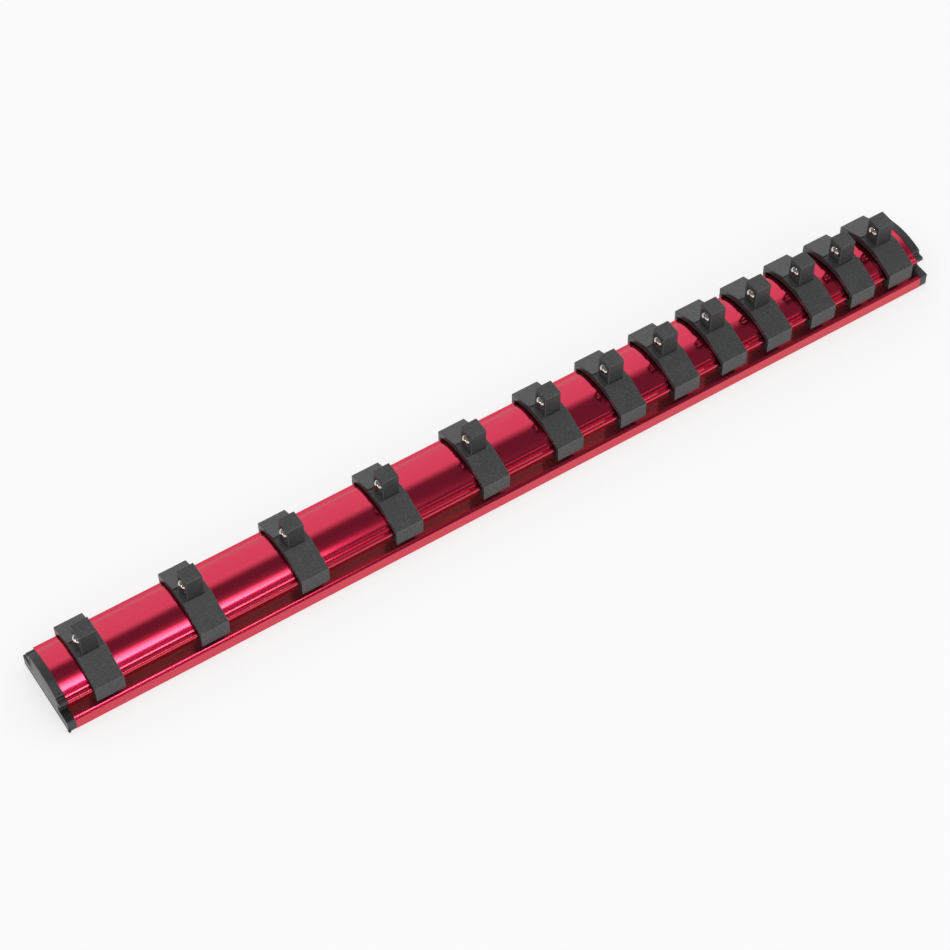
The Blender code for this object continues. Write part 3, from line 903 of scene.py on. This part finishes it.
class SpringOperator(bpy.types.Operator):
    """Build the coil springs behind the balls"""

    bl_idname = "socket_rail.springs"
    bl_label = "Ball Springs"

    def execute(self, context):
        settings = context.scene.socket_rail
        wire = settings.ball.wire_radius
        steel = spring_steel(settings.finish)
        for number in NUMBERS:
            low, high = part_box("ball_spring_" + number)
            middle = (low + high) / 2
            coil_radius = (high.z - low.z) / 2 - wire
            shape = self.coil(settings.ball, low.x + wire, high.x - wire, coil_radius)
            piece = to_piece(shape, "coil_spring_" + number, steel)
            piece.data.transform(Matrix.Translation((0, middle.y, middle.z)))
            piece.data.shade_smooth()
            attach(piece, "clip_" + number)
            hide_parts("ball_spring_" + number)
            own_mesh(piece)
        return {"FINISHED"}

    def coil(self, ball, start, end, radius):
        """A wire circle spun round X while it moves along X, with flat ends."""
        steps = 24 * ball.turns
        shape = bmesh.new()
        upright = Matrix.Translation((start, 0, radius)) @ Matrix.Rotation(math.radians(90), 4, "X")
        ring = bmesh.ops.create_circle(shape, segments=10, radius=ball.wire_radius, matrix=upright)["verts"]
        edges = shape.edges[:]
        bmesh.ops.spin(
            shape, geom=ring + edges, cent=(0, 0, 0), axis=(1, 0, 0), dvec=((end - start) / steps, 0, 0),
            angle=math.tau * ball.turns, steps=steps, use_merge=False,
        )
        bmesh.ops.holes_fill(shape, edges=[edge for edge in shape.edges if edge.is_boundary], sides=0)
        bmesh.ops.recalc_face_normals(shape, faces=shape.faces)
        return shape


class StageOperator(bpy.types.Operator):
    """Build the floor, the lamps, the surroundings and the camera"""

    bl_idname = "socket_rail.stage"
    bl_label = "Stage"

    def execute(self, context):
        settings = context.scene.socket_rail
        self.floor(settings.finish, settings.studio)
        self.surroundings(context.scene, settings.studio)
        self.softbox(context.scene, settings.studio)
        self.camera(context.scene, settings.studio)
        context.scene.view_settings.view_transform = "Standard"
        return {"FINISHED"}

    def floor(self, finish, studio):
        """A pale floor that the camera sees nearly white, with the soft shadow of the rail."""
        shape = bmesh.new()
        just_under = Matrix.Translation((0, 0, -0.0002))
        bmesh.ops.create_grid(shape, x_segments=1, y_segments=1, size=4, matrix=just_under)
        material = bpy.data.materials.new("pale_floor")
        material.use_nodes = True
        tree = material.node_tree
        tree.nodes.remove(tree.nodes["Principled BSDF"])
        start = Shade(tree)
        seen, mirrored = self.rays(tree)
        matt = start.node("ShaderNodeBsdfDiffuse", {"Color": rgba(finish.floor)})
        strength = 1.0 + seen * studio.floor_boost
        glow = start.node("ShaderNodeEmission", {"Color": (1, 1, 1, 1), "Strength": strength})
        glowing = seen * studio.floor_glow + mirrored * studio.floor_mirrored
        mixed = start.node("ShaderNodeMixShader", {0: glowing, 1: matt, 2: glow})
        tree.links.new(mixed.socket, tree.nodes["Material Output"].inputs["Surface"])
        to_piece(shape, "studio_floor", material)

    def rays(self, tree):
        """Whether a ray comes from the camera, and whether from a glossy surface."""
        outputs = Shade(tree).node("ShaderNodeLightPath").socket.node.outputs
        return Shade(tree, outputs["Is Camera Ray"]), Shade(tree, outputs["Is Glossy Ray"])

    def surroundings(self, scene, studio):
        """White to the camera; to glossy rays, white walls under a dark ceiling."""
        world = bpy.data.worlds.new("studio")
        world.use_nodes = True
        scene.world = world
        tree = world.node_tree
        tree.nodes.clear()
        start = Shade(tree)
        seen, mirrored = self.rays(tree)
        direction = start.node("ShaderNodeTexCoord", output=0)
        along, _, rise = direction.parts()
        # The ceiling reaches down to the horizon on the left
        rise = rise + along.ranged(-0.25, -0.05, 0.85, 0.0)
        dark = studio.ceiling
        walls = rise.ramped(((0.0, 1.0), (0.80, 1.0), (0.875, dark), (1.0, dark)))
        middle = Vector(studio.window).normalized()
        facing = start.node("ShaderNodeVectorMath", {0: direction, 1: middle}, 1, operation="DOT_PRODUCT")
        # The window's rim is soft over a quarter of its rise
        window = facing.ranged(math.cos(studio.window_radius), 1.0).ranged(0.0, 0.25) * studio.window_light
        even = start.node("ShaderNodeBackground", {"Color": (1, 1, 1, 1), "Strength": studio.surround})
        room = start.node("ShaderNodeBackground", {"Color": walls, "Strength": 1.0 + window})
        white = start.node("ShaderNodeBackground", {"Color": (1, 1, 1, 1), "Strength": studio.backdrop})
        light = start.node("ShaderNodeMixShader", {0: mirrored, 1: even, 2: room})
        surface = start.node("ShaderNodeMixShader", {0: seen, 1: light, 2: white})
        start.node("ShaderNodeOutputWorld", {"Surface": surface})

    def softbox(self, scene, studio):
        """A rectangular lamp overhead, brightest along its front and fading towards its back and right."""
        lamp = bpy.data.lights.new("softbox", "AREA")
        lamp.shape = "RECTANGLE"
        lamp.size, lamp.size_y = studio.softbox_width, studio.softbox_depth
        lamp.energy = studio.softbox * math.pi * lamp.size * lamp.size_y
        lamp.use_nodes = True
        tree = lamp.node_tree
        along, across = Shade(tree).node("ShaderNodeNewGeometry").parts()[:2]
        back = (along * 0.3 + across * 0.866).ranged(-0.091, 0.149).ramped(BACK_FADE)
        right = along.ranged(0.12, 0.45).ramped(RIGHT_FADE)
        glow = tree.nodes["Emission"]
        tree.links.new((back * right).socket, glow.inputs["Strength"])
        holder = bpy.data.objects.new("softbox", lamp)
        holder.location = studio.softbox_place
        holder.visible_camera = False
        scene.collection.objects.link(holder)

    def camera(self, scene, studio):
        camera = bpy.data.cameras.new("photo_view")
        camera.lens = studio.camera_lens
        camera.clip_start = 0.01
        holder = bpy.data.objects.new("photo_view", camera)
        place = Vector(studio.camera_place)
        aim = (Vector(studio.camera_target) - place).to_track_quat("-Z", "Y").to_matrix().to_4x4()
        holder.matrix_world = Matrix.Translation(place) @ aim @ Matrix.Rotation(studio.camera_roll, 4, "Z")
        scene.collection.objects.link(holder)
        scene.camera = holder


OPERATORS = (RailOperator, CapOperator, ClipOperator, BallOperator, SpringOperator, StageOperator)


class SocketRailPanel(bpy.types.Panel):
    """Sidebar panel with every step and its settings."""

    bl_idname = "VIEW3D_PT_socket_rail"
    bl_label = "Socket Rail"
    bl_space_type = "VIEW_3D"
    bl_region_type = "UI"
    bl_category = "Socket Rail"

    def draw(self, context):
        for operator in OPERATORS:
            self.layout.operator(operator.bl_idname)
        settings = context.scene.socket_rail
        for part in ("rail", "cap", "clip", "ball", "finish", "studio"):
            group = getattr(settings, part)
            column = self.layout.box().column()
            for name in group.bl_rna.properties.keys():
                if name not in ("rna_type", "name"):
                    column.prop(group, name)


GROUPS = (RailSizes, CapSizes, ClipSizes, BallSizes, FinishColours, StudioSettings, SocketRailSettings)
CLASSES = (*GROUPS, *OPERATORS, SocketRailPanel)


def register():
    for part in CLASSES:
        bpy.utils.register_class(part)
    bpy.types.Scene.socket_rail = PointerProperty(type=SocketRailSettings)


def unregister():
    del bpy.types.Scene.socket_rail
    for part in reversed(CLASSES):
        bpy.utils.unregister_class(part)


def main():
    """Build everything."""
    register()
    bpy.ops.socket_rail.extrusion()
    bpy.ops.socket_rail.end_caps()
    bpy.ops.socket_rail.clips()
    bpy.ops.socket_rail.balls()
    bpy.ops.socket_rail.springs()
    bpy.ops.socket_rail.stage()


if __name__ == "__main__":
    main()
